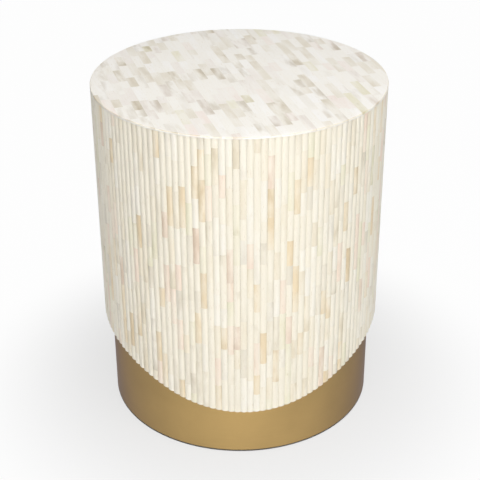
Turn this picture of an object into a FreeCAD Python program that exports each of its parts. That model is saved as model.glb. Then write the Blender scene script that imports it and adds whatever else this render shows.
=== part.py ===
import FreeCAD, Part

import math
import os
import random

os.makedirs("parts", exist_ok=True)

# Driving dimensions of the whole table, in millimetres, with the origin on the floor under its centre
TABLE_DIAMETER = 450.0
TABLE_HEIGHT = 545.0
PLINTH_DIAMETER = 426.0
PLINTH_HEIGHT = 180.0

# Thicknesses of the sheet and board that it is made from
BOARD = 18.0
BRASS = 1.0
PLINTH_PLY = 5.0
DRUM_PLY = 6.5
SKIRT_GAP = 0.5

# Floor glides, on a circle of this radius, the first one at this angle from the front
GLIDE_COUNT = 4
GLIDE_DIAMETER = 30.0
GLIDE_HEIGHT = 2.5
GLIDE_CIRCLE = 165.0
GLIDE_FIRST_DEGREES = 45.0

# Upright timber: blocks in the plinth and studs in the drum, as width across and depth towards the centre
BLOCK_COUNT = 6
BLOCK_WIDTH = 60.0
BLOCK_DEPTH = 38.0
BLOCK_FIRST_DEGREES = 0.0
STUD_COUNT = 8
STUD_WIDTH = 45.0
STUD_DEPTH = 32.0
STUD_FIRST_DEGREES = 22.5

# Ring half way up the drum, notched round the studs
RING_WIDTH = 50.0
RING_MIDDLE = 360.0
NOTCH_PLAY = 0.3

# Brass band: how far its top edge stays below the plinth's top, and the butt seam at the back
BAND_DROP = 4.0
BAND_SEAM = 0.6

# Wood screws: shank and head radii, countersink height and lengths
SCREW_RADIUS = 2.0
SCREW_HEAD_RADIUS = 4.0
SCREW_HEAD_HEIGHT = 2.4
SCREW_LENGTH = 45.0
GLIDE_SCREW_RADIUS = 1.5
GLIDE_SCREW_HEAD_RADIUS = 3.0
GLIDE_SCREW_HEAD_HEIGHT = 1.6
GLIDE_SCREW_LENGTH = 14.0

# Bolts, washers and tee nuts that hold the drum on the plinth
BOLT_COUNT = 4
BOLT_CIRCLE = 120.0
BOLT_FIRST_DEGREES = 30.0
BOLT_RADIUS = 4.0
BOLT_HEAD_SIDES = 6
BOLT_HEAD_ACROSS = 13.0
BOLT_HEAD_HEIGHT = 5.3
WASHER_RADIUS = 12.0
WASHER_HEIGHT = 1.6
TEE_FLANGE_RADIUS = 11.0
TEE_FLANGE_HEIGHT = 1.5
TEE_BARREL_RADIUS = 5.2
TEE_BARREL_LENGTH = 12.0

# Hem of the drum, seen from the front: an arc in the middle that runs into straight flanks
HEM_LOWEST = 85.0
HEM_ARC_RADIUS = 320.0
HEM_SLOPE = 0.43

# Round-faced bone slips on the wall
REED_COUNT = 144
REED_GROUPS = 12
REED_DEPTH = 5.0
REED_SIDE = 3.5
REED_GAP = 0.15
SLIP_SHORTEST = 32.0
SLIP_LONGEST = 66.0
SLIP_FIRST_SHORTEST = 14.0
SLIP_LAST_SHORTEST = 12.0
SLIP_JOINT = 0.15

# Flat bone strips on the top, in rows that lean to the left towards the back
STRIP_THICKNESS = 3.0
STRIP_WIDTH = 13.2
STRIP_SHORTEST = 25.0
STRIP_LONGEST = 60.0
STRIP_LEAN_DEGREES = 14.0
STRIP_SEAM = 0.3
STRIP_END_SHORTEST = 6.0
STRIP_SEED = 1000
RIM_BEVEL = 1.5

# Radii and levels worked out from the driving dimensions
TABLE_RADIUS = TABLE_DIAMETER / 2
SHELL_OUTER = TABLE_RADIUS - REED_DEPTH
SHELL_INNER = SHELL_OUTER - DRUM_PLY
BAND_OUTER = PLINTH_DIAMETER / 2
BAND_INNER = BAND_OUTER - BRASS
PLINTH_CORE = BAND_INNER - PLINTH_PLY
DRUM_CORE = BAND_OUTER + SKIRT_GAP
BASE_TOP = GLIDE_HEIGHT + BOARD
PLINTH_DISC_BOTTOM = PLINTH_HEIGHT - BOARD
DRUM_FLOOR_TOP = PLINTH_HEIGHT + BOARD
BONE_TOP_BOTTOM = TABLE_HEIGHT - STRIP_THICKNESS
TOP_BOARD_BOTTOM = BONE_TOP_BOTTOM - BOARD
UP = FreeCAD.Vector(0, 0, 1)
DOWN = FreeCAD.Vector(0, 0, -1)


def place(radius, degrees, height):
    """Point at a radius and height, with the angle counted from the front towards +X."""
    angle = math.radians(degrees)
    return FreeCAD.Vector(radius * math.sin(angle), -radius * math.cos(angle), height)


def disc(radius, bottom, top):
    """Solid disc about the table's axis."""
    return Part.makeCylinder(radius, top - bottom, FreeCAD.Vector(0, 0, bottom))


def tube(inner, outer, bottom, top):
    """Ring or wall about the table's axis."""
    return disc(outer, bottom, top).cut(disc(inner, bottom, top))


def half(shape, side):
    """Front (side -1) or back (side 1) half of a shape about the table's axis."""
    start = 0.0 if side > 0 else -TABLE_DIAMETER
    box = Part.makeBox(2 * TABLE_DIAMETER, TABLE_DIAMETER, TABLE_HEIGHT,
                       FreeCAD.Vector(-TABLE_DIAMETER, start, 0))
    return shape.common(box)


def around(count, first_degrees):
    """Equal steps round the table, in degrees."""
    return [first_degrees + 360.0 * step / count for step in range(count)]


def countersunk_screw(tip_side, at, shank, head, head_height, length):
    """Flat-headed screw with its head's face at a point and its shank along tip_side."""
    cone = Part.makeCone(head, shank, head_height, at, tip_side)
    start = at + tip_side * head_height
    return cone.fuse(Part.makeCylinder(shank, length - head_height, start, tip_side)).removeSplitter()


def wood_screw(tip_side, at):
    """Countersunk screw that joins a board to an upright."""
    return countersunk_screw(tip_side, at, SCREW_RADIUS, SCREW_HEAD_RADIUS, SCREW_HEAD_HEIGHT, SCREW_LENGTH)


def upright(width, depth, outer, degrees, bottom, top):
    """Post whose outer face is rounded to lie against a wall of radius outer."""
    post = Part.makeBox(width, depth, top - bottom, FreeCAD.Vector(-width / 2, -outer, bottom))
    post = post.common(disc(outer, bottom, top))
    post.rotate(FreeCAD.Vector(0, 0, 0), UP, degrees)
    return post


def save(name, shapes):
    """Writes one piece, or a group of like pieces, under its own name."""
    whole = shapes[0] if len(shapes) == 1 else Part.makeCompound(shapes)
    whole.exportStep("parts/" + name + ".step")
    state = "valid" if whole.isValid() else "not valid"
    print(name, len(whole.Solids), "solids", round(whole.Volume), "mm3", state)


# Angles at which the uprights, glides and bolts stand
glide_angles = around(GLIDE_COUNT, GLIDE_FIRST_DEGREES)
block_angles = around(BLOCK_COUNT, BLOCK_FIRST_DEGREES)
stud_angles = around(STUD_COUNT, STUD_FIRST_DEGREES)
bolt_angles = around(BOLT_COUNT, BOLT_FIRST_DEGREES)
block_screw_circle = PLINTH_CORE - BLOCK_DEPTH / 2
stud_screw_circle = DRUM_CORE - STUD_DEPTH / 2

# Fasteners, made first so that each board can be bored for them
glide_screws = [countersunk_screw(UP, place(GLIDE_CIRCLE, a, GLIDE_HEIGHT - GLIDE_SCREW_HEAD_HEIGHT),
                                  GLIDE_SCREW_RADIUS, GLIDE_SCREW_HEAD_RADIUS, GLIDE_SCREW_HEAD_HEIGHT,
                                  GLIDE_SCREW_LENGTH) for a in glide_angles]
base_screws = [wood_screw(UP, place(block_screw_circle, a, GLIDE_HEIGHT)) for a in block_angles]
plinth_screws = [wood_screw(DOWN, place(block_screw_circle, a, PLINTH_HEIGHT)) for a in block_angles]
floor_screws = [wood_screw(UP, place(stud_screw_circle, a, PLINTH_HEIGHT)) for a in stud_angles]
top_screws = [wood_screw(DOWN, place(stud_screw_circle, a, BONE_TOP_BOTTOM)) for a in stud_angles]

# Bolts stand in washers under the plinth's top disc and end in tee nuts in the drum's floor
bolt_length = 2 * BOARD + WASHER_HEIGHT
washer_bottom = PLINTH_DISC_BOTTOM - WASHER_HEIGHT
head_bottom = washer_bottom - BOLT_HEAD_HEIGHT
head_corner_radius = BOLT_HEAD_ACROSS / 2 / math.cos(math.pi / BOLT_HEAD_SIDES)
bolts = []
washers = []
tee_nuts = []
bolt_bores = []
tee_bores = []
for angle in bolt_angles:
    shank = Part.makeCylinder(BOLT_RADIUS, bolt_length, place(BOLT_CIRCLE, angle, washer_bottom))
    centre = place(BOLT_CIRCLE, angle, head_bottom)
    corners = []
    for turn in around(BOLT_HEAD_SIDES, 0.0):
        corners.append(centre + place(head_corner_radius, turn, 0))
    head = Part.Face(Part.makePolygon(corners + corners[:1])).extrude(UP * BOLT_HEAD_HEIGHT)
    washer = Part.makeCylinder(WASHER_RADIUS, WASHER_HEIGHT, place(BOLT_CIRCLE, angle, washer_bottom))
    flange = Part.makeCylinder(TEE_FLANGE_RADIUS, TEE_FLANGE_HEIGHT,
                               place(BOLT_CIRCLE, angle, DRUM_FLOOR_TOP - TEE_FLANGE_HEIGHT))
    barrel = Part.makeCylinder(TEE_BARREL_RADIUS, TEE_BARREL_LENGTH,
                               place(BOLT_CIRCLE, angle, DRUM_FLOOR_TOP - TEE_BARREL_LENGTH))
    tee = flange.fuse(barrel).removeSplitter()
    bolts.append(head.fuse(shank).removeSplitter())
    washers.append(washer.cut(shank))
    tee_nuts.append(tee.cut(shank))
    bolt_bores.append(shank)
    tee_bores.append(tee)

# Plinth: glides, base disc, blocks, top disc, plywood skin and brass band
for number, angle in enumerate(glide_angles, 1):
    glide = Part.makeCylinder(GLIDE_DIAMETER / 2, GLIDE_HEIGHT, place(GLIDE_CIRCLE, angle, 0))
    screw_well = Part.makeCylinder(GLIDE_SCREW_HEAD_RADIUS, GLIDE_HEIGHT - GLIDE_SCREW_HEAD_HEIGHT,
                                   place(GLIDE_CIRCLE, angle, 0))
    save("floor_glide_" + str(number), [glide.cut([screw_well, glide_screws[number - 1]])])
save("glide_screws", glide_screws)
save("base_disc", [disc(PLINTH_CORE, GLIDE_HEIGHT, BASE_TOP).cut(glide_screws + base_screws)])
save("base_screws", base_screws)
for number, angle in enumerate(block_angles, 1):
    block = upright(BLOCK_WIDTH, BLOCK_DEPTH, PLINTH_CORE, angle, BASE_TOP, PLINTH_DISC_BOTTOM)
    save("plinth_block_" + str(number), [block.cut([base_screws[number - 1], plinth_screws[number - 1]])])
plinth_top = disc(PLINTH_CORE, PLINTH_DISC_BOTTOM, PLINTH_HEIGHT)
save("plinth_top_disc", [plinth_top.cut(plinth_screws + bolt_bores)])
save("plinth_top_screws", plinth_screws)
plinth_skin = tube(PLINTH_CORE, BAND_INNER, GLIDE_HEIGHT, PLINTH_HEIGHT)
save("plinth_skin_front", [half(plinth_skin, -1)])
save("plinth_skin_back", [half(plinth_skin, 1)])
seam_slot = Part.makeBox(BAND_SEAM, TABLE_RADIUS, PLINTH_HEIGHT, FreeCAD.Vector(-BAND_SEAM / 2, 0, 0))
save("brass_band", [tube(BAND_INNER, BAND_OUTER, GLIDE_HEIGHT, PLINTH_HEIGHT - BAND_DROP).cut(seam_slot)])
save("joining_bolts", bolts)
save("bolt_washers", washers)
save("tee_nuts", tee_nuts)

# Drum: floor disc, studs, middle ring, top board and plywood shell
floor_bores = floor_screws + bolt_bores + tee_bores
save("drum_floor_disc", [disc(DRUM_CORE, PLINTH_HEIGHT, DRUM_FLOOR_TOP).cut(floor_bores)])
save("drum_floor_screws", floor_screws)
for number, angle in enumerate(stud_angles, 1):
    stud = upright(STUD_WIDTH, STUD_DEPTH, DRUM_CORE, angle, DRUM_FLOOR_TOP, TOP_BOARD_BOTTOM)
    save("drum_stud_" + str(number), [stud.cut([floor_screws[number - 1], top_screws[number - 1]])])
ring_bottom = RING_MIDDLE - BOARD / 2
ring = tube(DRUM_CORE - RING_WIDTH, DRUM_CORE, ring_bottom, ring_bottom + BOARD)
notch_width = STUD_WIDTH + 2 * NOTCH_PLAY
notch_depth = STUD_DEPTH + NOTCH_PLAY
notch_corner = FreeCAD.Vector(-notch_width / 2, -DRUM_CORE, ring_bottom)
notches = []
for angle in stud_angles:
    notch = Part.makeBox(notch_width, notch_depth, BOARD, notch_corner)
    notch.rotate(FreeCAD.Vector(0, 0, 0), UP, angle)
    notches.append(notch)
save("middle_ring", [ring.cut(notches)])
save("top_board", [disc(SHELL_OUTER, TOP_BOARD_BOTTOM, BONE_TOP_BOTTOM).cut(top_screws)])
save("top_board_screws", top_screws)

# Hem: everything below this profile, drawn in the front view and run through from front to back, is cut away
hem_angle = math.atan(HEM_SLOPE)
hem_turn_x = HEM_ARC_RADIUS * math.sin(hem_angle)
hem_turn_height = HEM_LOWEST + HEM_ARC_RADIUS * (1 - math.cos(hem_angle))
hem_reach = TABLE_DIAMETER


def hem_height(x):
    """Height of the hem at a distance to the right of the centre line."""
    if abs(x) < hem_turn_x:
        return HEM_LOWEST + HEM_ARC_RADIUS - math.sqrt(HEM_ARC_RADIUS ** 2 - x ** 2)
    return hem_turn_height + HEM_SLOPE * (abs(x) - hem_turn_x)


def hem_point(x, height):
    return FreeCAD.Vector(x, -hem_reach, height)


hem_corners = [hem_point(-hem_reach, 0), hem_point(-hem_reach, hem_height(hem_reach)),
               hem_point(-hem_turn_x, hem_turn_height), hem_point(hem_turn_x, hem_turn_height),
               hem_point(hem_reach, hem_height(hem_reach)), hem_point(hem_reach, 0)]
hem_edges = [Part.LineSegment(hem_corners[0], hem_corners[1]).toShape(),
             Part.LineSegment(hem_corners[1], hem_corners[2]).toShape(),
             Part.Arc(hem_corners[2], hem_point(0, HEM_LOWEST), hem_corners[3]).toShape(),
             Part.LineSegment(hem_corners[3], hem_corners[4]).toShape(),
             Part.LineSegment(hem_corners[4], hem_corners[5]).toShape(),
             Part.LineSegment(hem_corners[5], hem_corners[0]).toShape()]
below_hem = Part.Face(Part.Wire(hem_edges)).extrude(FreeCAD.Vector(0, 2 * hem_reach, 0))
drum_shell = tube(SHELL_INNER, SHELL_OUTER, 0, TOP_BOARD_BOTTOM).cut(below_hem)
save("drum_shell_front", [half(drum_shell, -1)])
save("drum_shell_back", [half(drum_shell, 1)])

# Bone slips on the wall: round-faced, in columns, with butt joints at uneven heights
reed_step = 360.0 / REED_COUNT
reed_half_width = SHELL_OUTER * math.tan(math.radians(reed_step / 2)) - REED_GAP / 2
reed_shoulder = SHELL_OUTER + REED_SIDE


def slip_levels(column, lowest):
    """Joint heights of one column, from the top down to where its last slip starts."""
    chance = random.Random(column)
    levels = [BONE_TOP_BOTTOM]
    level = BONE_TOP_BOTTOM - chance.uniform(SLIP_FIRST_SHORTEST, SLIP_LONGEST)
    while level - lowest > SLIP_LAST_SHORTEST:
        levels.append(level)
        level -= chance.uniform(SLIP_SHORTEST, SLIP_LONGEST)
    return levels


def slip(bottom, top, degrees):
    """One slip: a flat back, two straight sides and a round face."""
    back_left = FreeCAD.Vector(-reed_half_width, -SHELL_OUTER, bottom)
    back_right = FreeCAD.Vector(reed_half_width, -SHELL_OUTER, bottom)
    left = FreeCAD.Vector(-reed_half_width, -reed_shoulder, bottom)
    right = FreeCAD.Vector(reed_half_width, -reed_shoulder, bottom)
    crown = FreeCAD.Vector(0, -TABLE_RADIUS, bottom)
    edges = [Part.LineSegment(back_left, back_right).toShape(), Part.LineSegment(back_right, right).toShape(),
             Part.Arc(right, crown, left).toShape(), Part.LineSegment(left, back_left).toShape()]
    solid = Part.Face(Part.Wire(edges)).extrude(UP * (top - bottom))
    solid.rotate(FreeCAD.Vector(0, 0, 0), UP, degrees)
    return solid


columns_per_group = REED_COUNT // REED_GROUPS
for group in range(REED_GROUPS):
    slips = []
    for column in range(group * columns_per_group, (group + 1) * columns_per_group):
        degrees = reed_step * (column + 0.5)
        centre_x = TABLE_RADIUS * math.sin(math.radians(degrees))
        sway = reed_half_width * abs(math.cos(math.radians(degrees))) + REED_DEPTH
        lowest = hem_height(max(0.0, abs(centre_x) - sway))
        highest = hem_height(abs(centre_x) + sway)
        levels = slip_levels(column, highest)
        for top, bottom in zip(levels, levels[1:]):
            slips.append(slip(bottom + SLIP_JOINT, top, degrees))
        slips.append(slip(lowest - REED_DEPTH, levels[-1], degrees).cut(below_hem))
    save("bone_reeds_" + str(group + 1).zfill(2), slips)

# Bone strips on the top, with resin in the seams between them. A joint that would leave a short end at the
# rim is left out, so that its strip runs on
strip_rows = int(TABLE_RADIUS / STRIP_WIDTH + 0.5)
beyond_rim = TABLE_RADIUS + STRIP_WIDTH
top_disc = disc(TABLE_RADIUS, BONE_TOP_BOTTOM, TABLE_HEIGHT)
rim = [edge for edge in top_disc.Edges if edge.BoundBox.ZMin > BONE_TOP_BOTTOM]
bevelled_disc = top_disc.makeChamfer(RIM_BEVEL, rim)
strips = []
pockets = []
for row in range(-strip_rows, strip_rows + 1):
    chance = random.Random(STRIP_SEED + row)
    row_reach = math.sqrt(TABLE_RADIUS ** 2 - (row * STRIP_WIDTH) ** 2)
    joints = []
    joint = -TABLE_RADIUS - chance.uniform(0, STRIP_LONGEST)
    while joint < TABLE_RADIUS:
        if abs(joint) < row_reach - STRIP_END_SHORTEST:
            joints.append(joint)
        joint += chance.uniform(STRIP_SHORTEST, STRIP_LONGEST)
    for start, end in zip([-beyond_rim, *joints], [*joints, beyond_rim]):
        pocket = Part.makeBox(STRIP_WIDTH - STRIP_SEAM, end - start - STRIP_SEAM, STRIP_THICKNESS,
                              FreeCAD.Vector((row - 0.5) * STRIP_WIDTH, start, BONE_TOP_BOTTOM))
        pocket.rotate(FreeCAD.Vector(0, 0, 0), UP, STRIP_LEAN_DEGREES)
        strips.append(pocket.common(bevelled_disc).Solids[0])
        pockets.append(pocket)
save("bone_top_strips", strips)
save("top_seam_resin", bevelled_disc.cut(pockets).Solids)
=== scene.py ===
import math
import random

import bmesh
import bpy
from mathutils import Matrix, Vector


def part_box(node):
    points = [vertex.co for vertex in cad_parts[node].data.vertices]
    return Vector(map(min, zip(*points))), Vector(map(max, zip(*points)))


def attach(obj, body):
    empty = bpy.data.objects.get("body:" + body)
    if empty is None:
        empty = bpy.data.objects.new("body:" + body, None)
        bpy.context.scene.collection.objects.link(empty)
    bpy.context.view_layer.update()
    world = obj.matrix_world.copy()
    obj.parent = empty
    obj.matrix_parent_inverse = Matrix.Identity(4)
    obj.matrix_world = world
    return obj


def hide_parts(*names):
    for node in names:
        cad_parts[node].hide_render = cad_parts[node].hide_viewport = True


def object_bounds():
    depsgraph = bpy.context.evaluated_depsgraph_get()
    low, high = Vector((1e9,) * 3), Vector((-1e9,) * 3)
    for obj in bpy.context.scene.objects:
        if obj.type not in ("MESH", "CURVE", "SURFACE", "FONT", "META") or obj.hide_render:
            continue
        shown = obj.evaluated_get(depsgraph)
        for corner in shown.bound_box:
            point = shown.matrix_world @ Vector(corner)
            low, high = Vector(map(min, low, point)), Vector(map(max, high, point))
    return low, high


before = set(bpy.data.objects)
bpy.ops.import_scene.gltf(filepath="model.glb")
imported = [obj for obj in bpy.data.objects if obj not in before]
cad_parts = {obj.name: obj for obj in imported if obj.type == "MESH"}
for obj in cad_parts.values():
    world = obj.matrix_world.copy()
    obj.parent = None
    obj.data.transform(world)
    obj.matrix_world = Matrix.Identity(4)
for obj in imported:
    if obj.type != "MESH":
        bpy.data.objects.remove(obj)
cad_low, cad_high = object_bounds()
MM = 0.001


# Floor glides
# Four turned nylon discs, each held up under the base by one screw, so that the brass never touches the
# floor. The lower rim is rounded, and a countersunk well takes the screw's head.
GLIDE_COUNT = 4
GLIDE_WELL_RADIUS = 3.0 * MM
GLIDE_BORE_RADIUS = 1.5 * MM
GLIDE_WELL_DEPTH = 0.9 * MM
GLIDE_RIM_ROUNDING = 0.7 * MM
GLIDE_STEPS = 48
SAME_POINT = 1e-7
SAME_LEVEL = 1e-6
BLACK = (0, 0, 0, 1)
FINISH_SOCKETS = {"Colour": "Color", "Roughness": "Float", "Height": "Float"}


def paint(red, green, blue):
    """Colour as it is seen, from 0 to 255, turned into the linear values that a shader takes."""
    shares = [value / 255 for value in (red, green, blue)]
    linear = [share / 12.92 if share < 0.04045 else ((share + 0.055) / 1.055) ** 2.4 for share in shares]
    return (*linear, 1.0)


def feed(tree, socket, value):
    """Sets a socket, or links it where the value is another node's output."""
    if isinstance(value, bpy.types.NodeSocket):
        tree.links.new(value, socket)
    else:
        socket.default_value = value


def add_node(tree, kind, inputs=None, **options):
    """Adds a shader node with its options and with its sockets set or linked."""
    made = tree.nodes.new(kind)
    for option, choice in options.items():
        setattr(made, option, choice)
    for socket, value in (inputs or {}).items():
        feed(tree, made.inputs[socket], value)
    return made


def blend_colours(tree, share, first, second, way="MIX"):
    """Colour between two colours, by a share from 0 to 1."""
    mixed = add_node(tree, "ShaderNodeMix", {0: share, 6: first, 7: second},
                     data_type="RGBA", blend_type=way)
    return mixed.outputs[2]


def calculate(tree, way, first, second):
    """Result of a maths step with two values."""
    return add_node(tree, "ShaderNodeMath", {0: first, 1: second}, operation=way).outputs[0]


def stretch(tree, value, low, high, start=0.0, end=1.0):
    """A value from start to end spread between low and high, and held there beyond them."""
    sockets = {"Value": value, "From Min": start, "From Max": end, "To Min": low, "To Max": high}
    return add_node(tree, "ShaderNodeMapRange", sockets).outputs["Result"]


def cloudy(tree, place, scale, detail, roughness=0.5):
    """Cloudy pattern, from 0 to 1, over the coordinates given."""
    sockets = {"Vector": place, "Scale": scale, "Detail": detail, "Roughness": roughness}
    return add_node(tree, "ShaderNodeTexNoise", sockets).outputs["Fac"]


def start_material(name):
    """New node material: its tree, its Principled shader and its Object coordinates."""
    material = bpy.data.materials.new(name)
    material.use_nodes = True
    tree = material.node_tree
    shader = tree.nodes["Principled BSDF"]
    place = add_node(tree, "ShaderNodeTexCoord").outputs["Object"]
    return material, tree, shader, place


def start_group(name, inputs, outputs):
    """New shader node group with named sockets: its tree, its inputs and its output node."""
    tree = bpy.data.node_groups.new(name, "ShaderNodeTree")
    for direction, sockets in (("INPUT", inputs), ("OUTPUT", outputs)):
        for socket, kind in sockets.items():
            tree.interface.new_socket(socket, in_out=direction, socket_type="NodeSocket" + kind)
    return tree, tree.nodes.new("NodeGroupInput").outputs, tree.nodes.new("NodeGroupOutput").inputs


def dress(tree, shader, group, inputs):
    """Places a finish's node group in a material with its own values, for the colour and the gloss."""
    finish = add_node(tree, "ShaderNodeGroup", inputs, node_tree=group).outputs
    feed(tree, shader.inputs["Base Color"], finish["Colour"])
    feed(tree, shader.inputs["Roughness"], finish["Roughness"])
    return finish


def roughen(tree, shader, height, strength, depth):
    """Gives a material a fine relief that follows a pattern."""
    relief = add_node(tree, "ShaderNodeBump", {"Strength": strength, "Distance": depth, "Height": height})
    feed(tree, shader.inputs["Normal"], relief.outputs["Normal"])


def settle(name, shape):
    """Mesh of a bmesh that is done with."""
    mesh = bpy.data.meshes.new(name)
    shape.to_mesh(mesh)
    shape.free()
    return mesh


def finish_piece(name, shape, material, nodes):
    """Turns a bmesh into a piece that rides on the table and stands for its CAD nodes."""
    mesh = settle(name, shape)
    mesh.materials.append(material)
    piece = bpy.data.objects.new(name, mesh)
    bpy.context.scene.collection.objects.link(piece)
    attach(piece, "root")
    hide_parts(*nodes)


def smooth_faces(shape, sharp_degrees):
    """Shades a bmesh smooth, but keeps the edges that turn by more than an angle sharp."""
    for face in shape.faces:
        face.smooth = True
    for edge in shape.edges:
        edge.smooth = edge.calc_face_angle(math.pi) < math.radians(sharp_degrees)


def turned(profile, centre, steps):
    """Closed bmesh of a closed outline of (radius, height) points turned round an upright axis."""
    shape = bmesh.new()
    points = [shape.verts.new((centre.x + radius, centre.y, height)) for radius, height in profile]
    outline = [shape.edges.new(pair) for pair in zip(points, points[1:] + points[:1])]
    bmesh.ops.spin(shape, geom=points + outline, cent=(centre.x, centre.y, 0), axis=(0, 0, 1),
                   angle=2 * math.pi, steps=steps, use_merge=True)
    bmesh.ops.remove_doubles(shape, verts=shape.verts[:], dist=SAME_POINT)
    bmesh.ops.recalc_face_normals(shape, faces=shape.faces[:])
    return shape


# Soft mottling that several finishes share: uneven gloss, and a faint unevenness of colour and surface
mottle_group, given, wanted = start_group(
    "mottling",
    {"Vector": "Vector", "Scale": "Float", "Colour": "Color",
     "Shift": "Float", "Smooth": "Float", "Rough": "Float"},
    FINISH_SOCKETS)
clouds = cloudy(mottle_group, given["Vector"], given["Scale"], detail=5.0, roughness=0.55)
darkening = calculate(mottle_group, "MULTIPLY", given["Shift"], clouds)
feed(mottle_group, wanted["Colour"], blend_colours(mottle_group, darkening, given["Colour"], BLACK))
feed(mottle_group, wanted["Roughness"], stretch(mottle_group, clouds, given["Smooth"], given["Rough"]))
feed(mottle_group, wanted["Height"], clouds)


def mottle(tree, shader, place, colour, scale, shift, smooth, rough):
    """Mottles a material's colour and gloss, and gives the mottling for further use."""
    return dress(tree, shader, mottle_group, {"Vector": place, "Scale": scale, "Colour": colour,
                                              "Shift": shift, "Smooth": smooth, "Rough": rough})


nylon, tree, shader, place = start_material("nylon")
mottled = mottle(tree, shader, place, paint(58, 54, 50), scale=900.0, shift=0.3, smooth=0.45, rough=0.62)
roughen(tree, shader, mottled["Height"], strength=0.15, depth=0.1 * MM)

glide_centres = []
for number in range(1, GLIDE_COUNT + 1):
    node = "floor_glide_" + str(number)
    low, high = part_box(node)
    centre = (low + high) / 2
    radius = (high.x - low.x) / 2
    outline = [(GLIDE_BORE_RADIUS, high.z), (GLIDE_WELL_RADIUS, low.z + GLIDE_WELL_DEPTH),
               (GLIDE_WELL_RADIUS, low.z), (radius, low.z), (radius, high.z)]
    glide = turned(outline, centre, GLIDE_STEPS)
    rim = [edge for edge in glide.edges
           if all(abs(vert.co.z - low.z) < SAME_LEVEL for vert in edge.verts)
           and all((vert.co.xy - centre.xy).length > radius - SAME_LEVEL for vert in edge.verts)]
    bmesh.ops.bevel(glide, geom=rim, offset=GLIDE_RIM_ROUNDING, affect="EDGES", segments=3,
                    profile=0.5, material=-1)
    smooth_faces(glide, sharp_degrees=40)
    finish_piece("glide_" + str(number), glide, nylon, [node])
    glide_centres.append(centre)


# Screws, bolts, washers and tee nuts
# Zinc-plated steel: countersunk wood screws in the boards, and four bolts that pull the drum down on the
# plinth. The heads under the base have a cross recess for the driver. The rest are shut inside and keep
# their CAD shapes.
GLIDE_SCREW_HEAD = 3.0 * MM
GLIDE_SCREW_SHANK = 1.5 * MM
GLIDE_SCREW_HEAD_HEIGHT = 1.6 * MM
BASE_SCREW_COUNT = 6
BASE_SCREW_HEAD = 4.0 * MM
BASE_SCREW_SHANK = 2.0 * MM
BASE_SCREW_HEAD_HEIGHT = 2.4 * MM
SCREW_STEPS = 32
SCREW_AXIS = 0.01 * MM

# The recess, as shares of the head's radius and height, and its floor as a share of its mouth
RECESS_WIDTH = 0.26
RECESS_REACH = 0.62
RECESS_DEPTH = 0.55
RECESS_TAPER = 0.7

steel, tree, shader, place = start_material("zinc plated steel")
mottled = mottle(tree, shader, place, paint(196, 194, 188), scale=260.0, shift=0.25, smooth=0.26, rough=0.44)
shader.inputs["Metallic"].default_value = 1.0
roughen(tree, shader, mottled["Height"], strength=0.1, depth=0.05 * MM)


def saw(shape, faces, point, direction, nearness):
    """Cuts some of a bmesh's faces along a straight line, and gives those faces and the new ones."""
    edges = {edge for face in faces for edge in face.edges}
    verts = {vert for face in faces for vert in face.verts}
    cut = bmesh.ops.bisect_plane(shape, geom=[*verts, *edges, *faces], plane_co=point, plane_no=direction,
                                 dist=nearness)
    return [part for part in cut["geom"] if isinstance(part, bmesh.types.BMFace)]


def verts_among(parts):
    """The vertices among the parts that an operator gives."""
    return [part for part in parts if isinstance(part, bmesh.types.BMVert)]


def crossed_screw(head, shank, head_height, length):
    """Mesh of one countersunk screw that points up from the origin, with a cross recess in its head."""
    profile = [(SCREW_AXIS, 0), (head, 0), (shank, head_height), (shank, length), (SCREW_AXIS, length)]
    screw = turned(profile, Vector((0, 0, 0)), SCREW_STEPS)
    bmesh.ops.holes_fill(screw, edges=screw.edges[:], sides=0)
    arm = RECESS_WIDTH * head / 2
    reach = RECESS_REACH * head
    for cut in (-reach, -arm, arm, reach):
        for side in (Vector((1, 0, 0)), Vector((0, 1, 0))):
            level = [face for face in screw.faces if all(abs(vert.co.z) < SAME_POINT for vert in face.verts)]
            saw(screw, level, side * cut, side, SAME_POINT)
    recess = []
    for face in screw.faces:
        middle = face.calc_center_median()
        narrow, wide = sorted((abs(middle.x), abs(middle.y)))
        if abs(middle.z) < SAME_POINT and narrow < arm and wide < reach:
            recess.append(face)
    pushed = bmesh.ops.extrude_face_region(screw, geom=recess)["geom"]
    bmesh.ops.delete(screw, geom=recess, context="FACES_KEEP_BOUNDARY")
    recess_floor = verts_among(pushed)
    bmesh.ops.translate(screw, verts=recess_floor, vec=(0, 0, RECESS_DEPTH * head_height))
    bmesh.ops.scale(screw, verts=recess_floor, vec=(RECESS_TAPER, RECESS_TAPER, 1))
    bmesh.ops.recalc_face_normals(screw, faces=screw.faces[:])
    smooth_faces(screw, sharp_degrees=35)
    return settle("screw", screw)


def add_copy(group, mesh):
    """Adds a copy of a mesh to a bmesh, and gives its vertices."""
    known = len(group.verts)
    group.from_mesh(mesh)
    group.verts.ensure_lookup_table()
    return group.verts[known:]


def screw_set(name, node, mesh, places):
    """Piece of like screws with their heads' faces at the given places."""
    group = bmesh.new()
    for spot in places:
        bmesh.ops.translate(group, verts=add_copy(group, mesh), vec=spot)
    finish_piece(name, group, steel, [node])


def paint_nodes(material, names):
    """Gives CAD nodes that keep their own shape a material."""
    for name in names:
        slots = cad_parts[name].data.materials
        slots.clear()
        slots.append(material)


low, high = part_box("glide_screws")
small_screw = crossed_screw(GLIDE_SCREW_HEAD, GLIDE_SCREW_SHANK, GLIDE_SCREW_HEAD_HEIGHT, high.z - low.z)
screw_set("glide_screw_heads", "glide_screws", small_screw,
          [(centre.x, centre.y, low.z) for centre in glide_centres])

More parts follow.
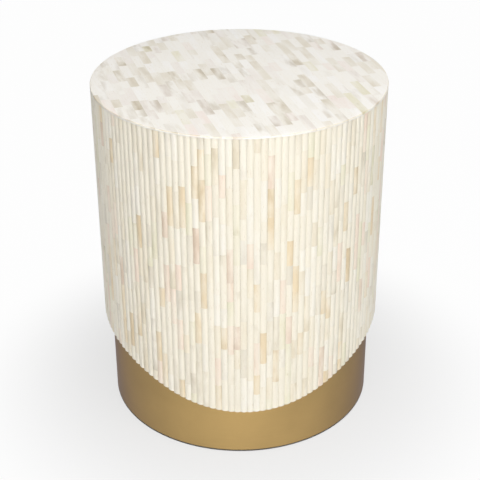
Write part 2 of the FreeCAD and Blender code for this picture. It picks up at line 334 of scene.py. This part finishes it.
low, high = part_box("base_screws")
large_screw = crossed_screw(BASE_SCREW_HEAD, BASE_SCREW_SHANK, BASE_SCREW_HEAD_HEIGHT, high.z - low.z)
screw_circle = high.y - BASE_SCREW_HEAD
turns = [2 * math.pi * step / BASE_SCREW_COUNT for step in range(BASE_SCREW_COUNT)]
screw_set("base_screw_heads", "base_screws", large_screw,
          [(screw_circle * math.sin(turn), -screw_circle * math.cos(turn), low.z) for turn in turns])
paint_nodes(steel, ["plinth_top_screws", "drum_floor_screws", "top_board_screws",
                    "joining_bolts", "bolt_washers", "tee_nuts"])


# Base disc
# An 18 mm fibreboard disc that closes the plinth from below, screwed up into the blocks.
# Its underside is rolled with a dark brown sealer, which leaves a fine stipple and holds some dust.
sealed_board, tree, shader, place = start_material("sealed board")
mottled = mottle(tree, shader, place, paint(74, 58, 46), scale=14.0, shift=0.35, smooth=0.5, rough=0.72)
stipple = cloudy(tree, place, scale=700.0, detail=3.0)
dust = cloudy(tree, place, scale=38.0, detail=6.0)
dust_share = stretch(tree, dust, low=0.0, high=0.22, start=0.55, end=0.8)
dusty = blend_colours(tree, dust_share, mottled["Colour"], paint(150, 138, 124))
feed(tree, shader.inputs["Base Color"], dusty)
roughen(tree, shader, stipple, strength=0.3, depth=0.15 * MM)
paint_nodes(sealed_board, ["base_disc"])


# Plinth blocks and drum studs
# Planed softwood posts with upright grain, screwed between the boards. Each one's outer face is rounded to
# its wall. The grain is made of long, slightly wavy growth rings about an axis set off to one side.
PLINTH_BLOCK_COUNT = 6
DRUM_STUD_COUNT = 8
RING_AXIS_SHIFT = (0.31, 0.27, 0.0)
LONG_GRAIN = (1.0, 1.0, 0.06)


def draw_out(tree, place, shares):
    """Coordinates multiplied along each axis, so that a pattern is drawn out or pressed together."""
    return add_node(tree, "ShaderNodeVectorMath", {0: place, 1: shares}, operation="MULTIPLY").outputs[0]


wood_group, given, wanted = start_group(
    "wood figure",
    {"Vector": "Vector", "Ring Scale": "Float", "Early": "Color", "Late": "Color"},
    FINISH_SOCKETS)
long_grain = draw_out(wood_group, given["Vector"], LONG_GRAIN)
rings = add_node(wood_group, "ShaderNodeTexWave",
                 {"Vector": long_grain, "Scale": given["Ring Scale"], "Distortion": 5.0, "Detail": 3.0,
                  "Detail Scale": 1.4},
                 wave_type="RINGS", rings_direction="Z", wave_profile="SAW").outputs["Fac"]
fibres = cloudy(wood_group, long_grain, scale=900.0, detail=4.0)
streaked = calculate(wood_group, "MULTIPLY", rings, fibres)
feed(wood_group, wanted["Colour"], blend_colours(wood_group, streaked, given["Early"], given["Late"]))
feed(wood_group, wanted["Roughness"], stretch(wood_group, streaked, low=0.72, high=0.55))
feed(wood_group, wanted["Height"], fibres)


def wooden(name, early, late, ring_scale):
    """Wood material with upright grain."""
    material, tree, shader, place = start_material(name)
    grain = add_node(tree, "ShaderNodeMapping", {"Vector": place, "Location": RING_AXIS_SHIFT})
    figure = dress(tree, shader, wood_group, {"Vector": grain.outputs["Vector"], "Ring Scale": ring_scale,
                                              "Early": early, "Late": late})
    roughen(tree, shader, figure["Height"], strength=0.25, depth=0.1 * MM)
    return material


softwood = wooden("softwood", paint(226, 196, 150), paint(186, 142, 92), ring_scale=55.0)
paint_nodes(softwood, ["plinth_block_" + str(number + 1) for number in range(PLINTH_BLOCK_COUNT)])
paint_nodes(softwood, ["drum_stud_" + str(number + 1) for number in range(DRUM_STUD_COUNT)])


# Plinth top disc, drum floor disc, middle ring and top board
# Bare 18 mm fibreboard, cut round. The faces are smooth and brown, with fine pale and dark fibre specks.
# The two discs and the board are screwed to the posts, and the ring is notched round the drum's studs.
board, tree, shader, place = start_material("fibreboard")
mottled = mottle(tree, shader, place, paint(172, 136, 98), scale=30.0, shift=0.18, smooth=0.7, rough=0.85)
specks = cloudy(tree, place, scale=1600.0, detail=2.0)
speck_share = stretch(tree, specks, low=0.0, high=0.45)
speckled = blend_colours(tree, speck_share, mottled["Colour"], paint(120, 88, 58))
feed(tree, shader.inputs["Base Color"], speckled)
roughen(tree, shader, specks, strength=0.2, depth=0.1 * MM)
paint_nodes(board, ["plinth_top_disc", "drum_floor_disc", "middle_ring", "top_board"])


# Plywood skins of the plinth and the drum
# Bending plywood, glued round the discs in a front and a back half, with the joints at the sides.
# Only its sawn edge shows, along the hem and round the foot, as thin light and dark layers.
PLY_LAYER = 1.3 * MM
FLAT = (1.0, 1.0, 0.0)


def length_of(tree, place):
    """Distance of the coordinates from the origin."""
    return add_node(tree, "ShaderNodeVectorMath", {0: place}, operation="LENGTH").outputs["Value"]


plywood = wooden("plywood", paint(214, 184, 140), paint(176, 134, 90), ring_scale=40.0)
tree = plywood.node_tree
shader = tree.nodes["Principled BSDF"]
place = add_node(tree, "ShaderNodeTexCoord").outputs["Object"]
from_axis = length_of(tree, draw_out(tree, place, FLAT))
layer = calculate(tree, "PINGPONG", from_axis, 2 * PLY_LAYER)
dark_layer = calculate(tree, "GREATER_THAN", layer, PLY_LAYER)
face_colour = shader.inputs["Base Color"].links[0].from_socket
layered = blend_colours(tree, dark_layer, face_colour, paint(150, 112, 74))
feed(tree, shader.inputs["Base Color"], layered)
paint_nodes(plywood, ["plinth_skin_front", "plinth_skin_back", "drum_shell_front", "drum_shell_back"])


# Brass band
# One strip of 1 mm brass sheet wrapped round the plinth, glued on, with its ends butted at the back.
# It is brushed round the plinth to a satin, lacquered, and slightly toned with age.
BRASS_SHEET = 1.0 * MM
BRASS_SEAM = 0.6 * MM
BRASS_EDGE = 0.3 * MM
BRASS_STEPS = 360
BRASS_WRAP = "round_the_plinth"
BRUSH_LINES = (12.0, 2600.0, 1.0)

low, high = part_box("brass_band")
band_radius = high.x
inner_radius = band_radius - BRASS_SHEET
seam_turn = BRASS_SEAM / band_radius
start_turn = math.pi / 2 + seam_turn / 2
band = bmesh.new()
corners = [(inner_radius, low.z), (band_radius, low.z), (band_radius, high.z), (inner_radius, high.z)]
section = [band.verts.new((radius * math.cos(start_turn), radius * math.sin(start_turn), height))
           for radius, height in corners]
band.faces.new(section)
bmesh.ops.bevel(band, geom=section, offset=BRASS_EDGE, affect="VERTICES", segments=3,
                profile=0.5, material=-1)
end_face = band.faces[:][0]
bmesh.ops.spin(band, geom=[end_face, *end_face.edges, *end_face.verts], cent=(0, 0, 0), axis=(0, 0, 1),
               angle=2 * math.pi - seam_turn, steps=BRASS_STEPS)
bmesh.ops.remove_doubles(band, verts=band.verts[:], dist=SAME_POINT)
bmesh.ops.recalc_face_normals(band, faces=band.faces[:])
around = band.loops.layers.uv.new(BRASS_WRAP)
for face in band.faces:
    middle = face.calc_center_median()
    face_turn = math.atan2(middle.y, middle.x)
    for loop in face.loops:
        spot = loop.vert.co
        turn = math.atan2(spot.y, spot.x)
        turn += 2 * math.pi * round((face_turn - turn) / (2 * math.pi))
        loop[around].uv = (turn * band_radius, spot.z)
smooth_faces(band, sharp_degrees=40)

brass, tree, shader, place = start_material("satin brass")
wrap = add_node(tree, "ShaderNodeUVMap", uv_map=BRASS_WRAP).outputs["UV"]
brushing = cloudy(tree, draw_out(tree, wrap, BRUSH_LINES), scale=1.0, detail=3.0)
mottled = mottle(tree, shader, place, paint(202, 170, 109), scale=9.0, shift=0.28, smooth=0.50, rough=0.60)
line_share = stretch(tree, brushing, low=0.0, high=0.25)
brushed = blend_colours(tree, line_share, mottled["Colour"], paint(150, 122, 76))
feed(tree, shader.inputs["Base Color"], brushed)
shader.inputs["Metallic"].default_value = 1.0
shader.inputs["Specular Tint"].default_value = paint(58, 88, 176)
shader.inputs["Anisotropic"].default_value = 0.62
shader.inputs["Anisotropic Rotation"].default_value = 0.25
shader.inputs["Coat Weight"].default_value = 0.35
shader.inputs["Coat Roughness"].default_value = 0.45
along = add_node(tree, "ShaderNodeTangent", direction_type="UV_MAP", uv_map=BRASS_WRAP)
feed(tree, shader.inputs["Tangent"], along.outputs["Tangent"])
roughen(tree, shader, brushing, strength=0.12, depth=0.03 * MM)
finish_piece("brass_wrap", band, brass, ["brass_band"])


# Bone reeds
# The wall is columns of round-faced slips, sawn from shin bone, sanded round, butted end to end and glued
# on. Each slip has its own tone. The lowest one of each column ends at the curve of the hem, sawn off
# nearly square.
REED_COUNT = 144
REED_GROUPS = 12
REED_DEPTH = 5.0
REED_SIDE = 3.5
REED_GAP = 0.15
REED_ARC_STEPS = 8
SLIP_SHORTEST = 32.0
SLIP_LONGEST = 66.0
SLIP_FIRST_SHORTEST = 14.0
SLIP_LAST_SHORTEST = 12.0
SLIP_JOINT = 0.15
SLIP_EDGE = 0.1
SLIP_SUNK_MOST = 0.22
SLIP_TWIST_MOST = 1.5
SLIP_BLANK_LENGTH = 1.0
HEM_LOWEST = 85.0
HEM_ARC_RADIUS = 320.0
HEM_SLOPE = 0.43
HEM_FOLLOWED = 0.4
TONE_SEED = 5000

# Tones of the wall's bone, each with how often it is met, and how much darker a slip may be than its tone
WALL_TONES = [(paint(247, 242, 228), 36), (paint(250, 247, 238), 20), (paint(243, 235, 216), 14),
              (paint(238, 221, 190), 9), (paint(233, 227, 213), 6), (paint(246, 229, 214), 8),
              (paint(239, 236, 212), 7)]
WALL_TONE_SPREAD = 0.04
WALL_STAIN = 0.6

table_radius = cad_high.x / MM
wall_radius = table_radius - REED_DEPTH
reed_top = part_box("bone_reeds_01")[1].z / MM
reed_step = 360.0 / REED_COUNT
reed_half_width = wall_radius * math.tan(math.radians(reed_step / 2)) - REED_GAP / 2
crown_rise = REED_DEPTH - REED_SIDE
crown_radius = (reed_half_width ** 2 + crown_rise ** 2) / (2 * crown_rise)
hem_angle = math.atan(HEM_SLOPE)
hem_turn_x = HEM_ARC_RADIUS * math.sin(hem_angle)
hem_turn_height = HEM_LOWEST + HEM_ARC_RADIUS * (1 - math.cos(hem_angle))


def hem_height(x):
    """Height of the hem at a distance to the right of the centre line."""
    if abs(x) < hem_turn_x:
        return HEM_LOWEST + HEM_ARC_RADIUS - math.sqrt(HEM_ARC_RADIUS ** 2 - x ** 2)
    return hem_turn_height + HEM_SLOPE * (abs(x) - hem_turn_x)


def slip_levels(column, lowest):
    """Joint heights of one column, from the top down to where its last slip starts."""
    chance = random.Random(column)
    levels = [reed_top]
    level = reed_top - chance.uniform(SLIP_FIRST_SHORTEST, SLIP_LONGEST)
    while level - lowest > SLIP_LAST_SHORTEST:
        levels.append(level)
        level -= chance.uniform(SLIP_SHORTEST, SLIP_LONGEST)
    return levels


def bone_tone(chance, tones, spread):
    """One of the tones, a little darker than it is written, with a number of the piece's own."""
    picked = chance.choices([tone for tone, share in tones], [share for tone, share in tones])[0]
    light = 1.0 - chance.uniform(0.0, spread)
    return (picked[0] * light, picked[1] * light, picked[2] * light, chance.random())


def slip_blank(eased_ends):
    """Mesh of a short slip at the front of the wall, in millimetres, with its ends at some heights eased."""
    slip = bmesh.new()
    slip.verts.layers.float_color.new("tone")
    crown_centre = Vector((0, -(table_radius - crown_radius), 0))
    left = slip.verts.new((-reed_half_width, -(wall_radius + REED_SIDE), 0))
    reach = math.atan2(reed_half_width, crown_radius - crown_rise)
    swept = bmesh.ops.spin(slip, geom=[left], cent=crown_centre, axis=(0, 0, 1), angle=2 * reach,
                           steps=REED_ARC_STEPS)
    right = swept["geom_last"][0]
    back_right = slip.verts.new((reed_half_width, -wall_radius, 0))
    back_left = slip.verts.new((-reed_half_width, -wall_radius, 0))
    for pair in ((right, back_right), (back_right, back_left), (back_left, left)):
        slip.edges.new(pair)
    bmesh.ops.contextual_create(slip, geom=slip.edges[:])
    raised = bmesh.ops.extrude_face_region(slip, geom=slip.faces[:], use_keep_orig=True)["geom"]
    bmesh.ops.translate(slip, verts=verts_among(raised), vec=(0, 0, SLIP_BLANK_LENGTH))
    bmesh.ops.recalc_face_normals(slip, faces=slip.faces[:])
    ends = [edge for edge in slip.edges if edge.verts[0].co.z == edge.verts[1].co.z in eased_ends
            and max(-vert.co.y for vert in edge.verts) > wall_radius + REED_GAP]
    bmesh.ops.bevel(slip, geom=ends, offset=SLIP_EDGE, affect="EDGES", segments=1, profile=0.5, material=-1)
    smooth_faces(slip, sharp_degrees=40)
    return settle("slip", slip)


top_slip = slip_blank([0.0])
other_slip = slip_blank([0.0, SLIP_BLANK_LENGTH])


def add_slip(group, degrees, top, bottom, chance):
    """Adds a slip to a group of columns. With no bottom given, its lower end follows the hem."""
    slip = add_copy(group, top_slip if top == reed_top else other_slip)
    tone = group.verts.layers.float_color["tone"]
    colour = bone_tone(chance, WALL_TONES, WALL_TONE_SPREAD)
    sunk = Vector((0, chance.uniform(0, SLIP_SUNK_MOST), 0))
    twist = Matrix.Rotation(math.radians(chance.uniform(-SLIP_TWIST_MOST, SLIP_TWIST_MOST)), 3, "Z")
    pivot = Vector((0, -wall_radius, 0))
    turn = Matrix.Rotation(math.radians(degrees), 3, "Z")
    hem_here = hem_height(table_radius * math.sin(math.radians(degrees)))
    for vert in slip:
        upper = vert.co.z > SLIP_BLANK_LENGTH / 2
        height = vert.co.z - SLIP_BLANK_LENGTH if upper else vert.co.z
        spot = turn @ (pivot + twist @ (Vector((vert.co.x, vert.co.y, 0)) + sunk - pivot))
        if upper:
            height += top
        elif bottom is not None:
            height += bottom
        else:
            height += hem_here + HEM_FOLLOWED * (hem_height(table_radius * spot.x / spot.length) - hem_here)
        vert.co = Vector((spot.x, spot.y, height)) * MM
        vert[tone] = colour


# Bone figure, shared by the wall and the top: long streaks, short dark pores and soft clouding. The grain
# runs along Z, and each piece's own number moves it to another place in the pattern
STREAKS_LONG = (1.0, 1.0, 0.07)
STREAK_RELIEF = 0.35
CLOUDS_LONG = (1.0, 1.0, 0.3)
bone_group, given, wanted = start_group(
    "bone figure",
    {"Vector": "Vector", "Piece": "Float", "Ground": "Color", "Tone": "Color", "Stain": "Float"},
    FINISH_SOCKETS)
own_place = add_node(bone_group, "ShaderNodeCombineXYZ", {axis: given["Piece"] for axis in "XYZ"}).outputs[0]
moved = add_node(bone_group, "ShaderNodeVectorMath", {0: given["Vector"], 1: own_place}, operation="ADD")
long_way = draw_out(bone_group, moved.outputs[0], STREAKS_LONG)
streaks = cloudy(bone_group, long_way, scale=420.0, detail=4.0, roughness=0.6)
pore_field = cloudy(bone_group, long_way, scale=1500.0, detail=1.0)
pores = stretch(bone_group, pore_field, low=0.0, high=1.0, start=0.66, end=0.76)
cloud_place = draw_out(bone_group, moved.outputs[0], CLOUDS_LONG)
clouding = cloudy(bone_group, cloud_place, scale=60.0, detail=3.0)
own_share = stretch(bone_group, clouding, low=0.25, high=1.0, start=0.35, end=0.65)
own_tone = blend_colours(bone_group, own_share, given["Ground"], given["Tone"])
stain_field = stretch(bone_group, clouding, low=0.0, high=1.0, start=0.45, end=0.7)
stained_piece = stretch(bone_group, given["Piece"], low=0.0, high=1.0, start=0.6)
patches = calculate(bone_group, "MULTIPLY", stain_field, stained_piece)
stain = calculate(bone_group, "MULTIPLY", patches, given["Stain"])
streak_tone = blend_colours(bone_group, 1.0, own_tone, paint(240, 230, 208), "MULTIPLY")
streak_share = stretch(bone_group, streaks, low=0.0, high=0.4)
streaky = blend_colours(bone_group, streak_share, own_tone, streak_tone)
stain_tone = blend_colours(bone_group, 1.0, own_tone, paint(206, 196, 178), "MULTIPLY")
stained = blend_colours(bone_group, stain, streaky, stain_tone)
pore_share = stretch(bone_group, pores, low=0.0, high=0.4)
pored = blend_colours(bone_group, pore_share, stained, paint(196, 172, 136))
feed(bone_group, wanted["Colour"], pored)
feed(bone_group, wanted["Roughness"], stretch(bone_group, streaks, low=0.30, high=0.48))
shallow = calculate(bone_group, "MULTIPLY", streaks, STREAK_RELIEF)
feed(bone_group, wanted["Height"], calculate(bone_group, "SUBTRACT", shallow, pores))


def bony(name, turn_from_grain, ground, stain_share):
    """Polished bone. Each piece's tone comes from its attribute, and shades off in places to the ground."""
    material, tree, shader, place = start_material(name)
    tone = add_node(tree, "ShaderNodeAttribute", attribute_name="tone").outputs
    grain = add_node(tree, "ShaderNodeMapping", {"Vector": place, "Rotation": turn_from_grain},
                     vector_type="TEXTURE").outputs["Vector"]
    figure = dress(tree, shader, bone_group, {"Vector": grain, "Piece": tone["Alpha"], "Ground": ground,
                                              "Tone": tone["Color"], "Stain": stain_share})
    shader.inputs["IOR"].default_value = 1.5
    roughen(tree, shader, figure["Height"], strength=0.2, depth=0.1 * MM)
    return material


wall_bone = bony("wall bone", (0, 0, 0), WALL_TONES[0][0], WALL_STAIN)
columns_per_group = REED_COUNT // REED_GROUPS
for number in range(REED_GROUPS):
    reeds = bmesh.new()
    reeds.verts.layers.float_color.new("tone")
    for column in range(number * columns_per_group, (number + 1) * columns_per_group):
        degrees = reed_step * (column + 0.5)
        centre_x = table_radius * math.sin(math.radians(degrees))
        sway = reed_half_width * abs(math.cos(math.radians(degrees))) + REED_DEPTH
        levels = slip_levels(column, hem_height(abs(centre_x) + sway))
        chance = random.Random(TONE_SEED + column)
        for top, bottom in zip(levels, levels[1:]):
            add_slip(reeds, degrees, top, bottom + SLIP_JOINT, chance)
        add_slip(reeds, degrees, levels[-1], None, chance)
    label = str(number + 1).zfill(2)
    finish_piece("reeds_" + label, reeds, wall_bone, ["bone_reeds_" + label])


# Bone strips of the top
# Flat strips of bone, laid in rows that lean to the left towards the back, glued down and sanded flat
# together. They are cut round at the rim, flush with the crowns of the reeds, and the rim is rounded over.
STRIP_WIDTH = 13.2
STRIP_SHORTEST = 25.0
STRIP_LONGEST = 60.0
STRIP_LEAN_DEGREES = 14.0
STRIP_SEAM = 0.3
STRIP_END_SHORTEST = 6.0
STRIP_SEED = 1000
RIM_ROUNDING = 1.5
RIM_ROUNDING_STEPS = 4
RIM_HAIR = 0.05
# Painted shade for the rounded rim, multiplied into the tone of the strips there
RIM_PAINTED_SHADE = paint(238, 230, 212)
RIM_STEPS = 288
SAW_NEARNESS = 1e-4
STRAIGHT_ENOUGH = math.radians(0.5)
TOP_TONES = [(paint(246, 244, 240), 40), (paint(249, 248, 247), 18), (paint(240, 235, 231), 14),
             (paint(233, 228, 217), 11), (paint(226, 219, 205), 8), (paint(242, 233, 228), 6),
             (paint(231, 227, 206), 3)]
TOP_TONE_SPREAD = 0.02
TOP_STAIN = 1.0

low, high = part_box("bone_top_strips")
strip_low = low.z / MM
strip_high = high.z / MM
lean = Matrix.Rotation(math.radians(STRIP_LEAN_DEGREES), 3, "Z")
across = lean @ Vector((1, 0, 0))
lengthwise = lean @ Vector((0, 1, 0))

# The joints of each row. One that would leave a short end at the rim is left out
row_joints = {}
strip_rows = int(table_radius / STRIP_WIDTH + 0.5)
for row in range(-strip_rows, strip_rows + 1):
    chance = random.Random(STRIP_SEED + row)
    row_reach = math.sqrt(table_radius ** 2 - (row * STRIP_WIDTH) ** 2)
    row_joints[row] = []
    joint = -table_radius - chance.uniform(0, STRIP_LONGEST)
    while joint < table_radius:
        if abs(joint) < row_reach - STRIP_END_SHORTEST:
            row_joints[row].append(joint)
        joint += chance.uniform(STRIP_SHORTEST, STRIP_LONGEST)

# A flat disc, with narrow rings where the rim is to be rounded
strips = bmesh.new()
bmesh.ops.create_circle(strips, cap_ends=True, segments=RIM_STEPS, radius=table_radius)
inside = strips.faces[:]
for step in range(RIM_ROUNDING_STEPS):
    turns = [math.pi / 2 * (step + part) / RIM_ROUNDING_STEPS for part in (0, 1)]
    ring_width = RIM_ROUNDING * (math.cos(turns[0]) - math.cos(turns[1]))
    bmesh.ops.inset_region(strips, faces=inside, thickness=ring_width, use_boundary=True,
                           use_even_offset=True)


def row_of(face):
    """Number of the row that a face lies in."""
    return round(face.calc_center_median().dot(across) / STRIP_WIDTH)


def strip_of(face):
    """Row and number of the strip that a face belongs to, or nothing where it lies in a seam."""
    middle = face.calc_center_median()
    row = row_of(face)
    if middle.dot(across) > (row + 0.5) * STRIP_WIDTH - STRIP_SEAM:
        return None
    forward = middle.dot(lengthwise)
    if any(joint - STRIP_SEAM < forward < joint for joint in row_joints[row]):
        return None
    return row, sum(joint < forward for joint in row_joints[row])


pieces = strips.faces[:]
for row in row_joints:
    for side in ((row + 0.5) * STRIP_WIDTH - STRIP_SEAM, (row + 0.5) * STRIP_WIDTH):
        pieces = saw(strips, pieces, across * side, across, SAW_NEARNESS)
for row, joints in row_joints.items():
    in_row = [face for face in strips.faces if row_of(face) == row]
    for joint in joints:
        for end in (joint - STRIP_SEAM, joint):
            in_row = saw(strips, in_row, lengthwise * end, lengthwise, SAW_NEARNESS)
seam_sheet = strips.copy()
seams = [face for face in strips.faces if strip_of(face) is None]
bmesh.ops.delete(strips, geom=seams, context="FACES")
straight = [vert for vert in strips.verts if vert.calc_edge_angle(math.pi) < STRAIGHT_ENOUGH]
bmesh.ops.dissolve_verts(strips, verts=straight)

tone = strips.verts.layers.float_color.new("tone")
chance = random.Random(TONE_SEED + STRIP_SEED)
strip_tones = {}
for face in strips.faces:
    strip = strip_of(face)
    if strip not in strip_tones:
        strip_tones[strip] = bone_tone(chance, TOP_TONES, TOP_TONE_SPREAD)
    for vert in face.verts:
        vert[tone] = strip_tones[strip]


def thicken(sheet):
    """Gives a flat sheet of the top its thickness and its rounded rim, and turns it into metres."""
    lower = bmesh.ops.extrude_face_region(sheet, geom=sheet.faces[:], use_keep_orig=True)["geom"]
    lower_verts = set(verts_among(lower))
    for vert in sheet.verts:
        past_flat = max(0.0, vert.co.xy.length - (table_radius - RIM_ROUNDING))
        drop = RIM_ROUNDING - math.sqrt(max(0.0, RIM_ROUNDING ** 2 - past_flat ** 2))
        vert.co.z = strip_low if vert in lower_verts else strip_high - drop
    bmesh.ops.recalc_face_normals(sheet, faces=sheet.faces[:])
    bmesh.ops.scale(sheet, verts=sheet.verts[:], vec=(MM, MM, MM))
    smooth_faces(sheet, sharp_degrees=30)


thicken(strips)

# The rounding is painted darker and a little yellower, a painted shade that keeps it from showing brighter
# than the top where it faces the lamps. A hair's width at both its edges is left out
for vert in strips.verts:
    from_edge = table_radius - vert.co.xy.length / MM
    if RIM_HAIR < from_edge < RIM_ROUNDING - RIM_HAIR:
        vert[tone] = [value * share for value, share in zip(vert[tone], RIM_PAINTED_SHADE)]
top_bone = bony("top bone", (-math.pi / 2, 0, math.radians(STRIP_LEAN_DEGREES)), TOP_TONES[0][0], TOP_STAIN)
finish_piece("top_strips", strips, top_bone, ["bone_top_strips"])


# Seam resin of the top
# Tinted resin poured into the seams between the strips, and sanded flush and round with them.
# Only its hairlines show.
bone = [face for face in seam_sheet.faces if strip_of(face) is not None]
bmesh.ops.delete(seam_sheet, geom=bone, context="FACES")
thicken(seam_sheet)

resin, tree, shader, place = start_material("seam resin")
mottled = mottle(tree, shader, place, paint(243, 239, 230), scale=120.0, shift=0.06, smooth=0.28, rough=0.42)
roughen(tree, shader, mottled["Height"], strength=0.1, depth=0.05 * MM)
finish_piece("seam_resin", seam_sheet, resin, ["top_seam_resin"])


# Studio floor
# A wide pale floor under the table, with a low wall far off all round it as the backdrop. The camera and
# mirror-like reflections see them as white, with the table's soft shadow. Near the table the white is held
# back and under the plinth it is left out, which paints a grey shade round and under the foot, also in the
# brass's reflection of the floor.
FLOOR_RADIUS = 24.0
FLOOR_STEPS = 64
BACKDROP_HEIGHT = 3.0
SHADOW_REACH = 0.5
NEAR_WHITE = 0.72
FAR_WHITE = 0.98
WHITE = (1, 1, 1, 1)
ground = bmesh.new()
bmesh.ops.create_circle(ground, cap_ends=True, segments=FLOOR_STEPS, radius=FLOOR_RADIUS)
raised = bmesh.ops.extrude_edge_only(ground, edges=ground.edges[:])["geom"]
bmesh.ops.translate(ground, verts=verts_among(raised), vec=(0, 0, BACKDROP_HEIGHT))
floor = bpy.data.objects.new("floor", settle("floor", ground))
bpy.context.scene.collection.objects.link(floor)

pale, tree, shader, place = start_material("pale floor")
shader.inputs["Base Color"].default_value = paint(180, 180, 180)
shader.inputs["Roughness"].default_value = 0.9
seen = add_node(tree, "ShaderNodeLightPath").outputs
mirrored = calculate(tree, "MAXIMUM", seen["Is Glossy Ray"], seen["Is Transmission Ray"])
shown = calculate(tree, "MAXIMUM", seen["Is Camera Ray"], mirrored)
# Painted shade: the white glow fades from FAR_WHITE down to NEAR_WHITE towards the table, and is cut off
# under the plinth
from_table = length_of(tree, place)
whiter = add_node(tree, "ShaderNodeMapRange",
                  {"Value": from_table, "From Min": cad_high.x, "From Max": SHADOW_REACH,
                   "To Min": NEAR_WHITE, "To Max": FAR_WHITE}, interpolation_type="SMOOTHSTEP")
outside = calculate(tree, "GREATER_THAN", from_table, band_radius)
white_outside = calculate(tree, "MULTIPLY", outside, whiter.outputs["Result"])
white_share = calculate(tree, "MULTIPLY", shown, white_outside)
glow = add_node(tree, "ShaderNodeEmission", {"Color": WHITE, "Strength": 1.0})
mixed = add_node(tree, "ShaderNodeMixShader", {0: white_share, 1: shader.outputs[0], 2: glow.outputs[0]})
feed(tree, tree.nodes["Material Output"].inputs["Surface"], mixed.outputs[0])
floor.data.materials.append(pale)


# Studio light
# Wide soft lights low in front, at both sides and behind, one overhead, and a little even light from all
# round.
SURROUND = 0.1


def soft_light(name, place, aim, width, height, power):
    """Oblong soft light that faces a point."""
    lamp = bpy.data.lights.new(name, "AREA")
    lamp.shape = "RECTANGLE"
    lamp.size = width
    lamp.size_y = height
    lamp.energy = power
    holder = bpy.data.objects.new(name, lamp)
    holder.location = place
    holder.rotation_euler = (Vector(aim) - Vector(place)).to_track_quat("-Z", "Y").to_euler()
    holder.visible_camera = False
    bpy.context.scene.collection.objects.link(holder)


soft_light("front", place=(0.05, -2.6, 0.34), aim=(0, 0, 0.3), width=2.4, height=0.6, power=28.6)
soft_light("left", place=(-2.0, -1.68, 0.4), aim=(0, 0, 0.3), width=1.2, height=0.6, power=8.6)
soft_light("right", place=(2.0, -1.68, 0.4), aim=(0, 0, 0.3), width=1.2, height=0.6, power=7.6)
soft_light("back", place=(0.0, 2.8, 0.2), aim=(0, 0, 0.1), width=4.0, height=1.6, power=8.0)
soft_light("overhead", place=(0.2, -0.8, 2.8), aim=(0, 0, 0.3), width=1.6, height=1.6, power=68.0)
world = bpy.data.worlds.new("studio")
bpy.context.scene.world = world
world.use_nodes = True
background = world.node_tree.nodes["Background"].inputs
background["Color"].default_value = WHITE
background["Strength"].default_value = SURROUND
bpy.context.scene.view_settings.view_transform = "Standard"


# Camera
# A long lens, a little above the table and to the left, looking down at its front.
# It is rolled very slightly, so that the table sits in the picture as it does in the photograph.
CAMERA_LENS = 87.4
CAMERA_DISTANCE = 1.9
CAMERA_PITCH = math.radians(28.93)
CAMERA_AZIMUTH = math.radians(-2.5)
CAMERA_ROLL = math.radians(-0.309)
CAMERA_AIM = Vector((0.0, 0.0, 0.2633))
camera = bpy.data.objects.new("camera", bpy.data.cameras.new("camera"))
camera.data.lens = CAMERA_LENS
back = Vector((math.sin(CAMERA_AZIMUTH) * math.cos(CAMERA_PITCH),
               -math.cos(CAMERA_AZIMUTH) * math.cos(CAMERA_PITCH),
               math.sin(CAMERA_PITCH)))
camera.location = CAMERA_AIM + back * CAMERA_DISTANCE
level_view = (-back).to_track_quat("-Z", "Y").to_matrix()
camera.rotation_euler = (level_view @ Matrix.Rotation(CAMERA_ROLL, 3, "Z")).to_euler()
bpy.context.scene.collection.objects.link(camera)
bpy.context.scene.camera = camera
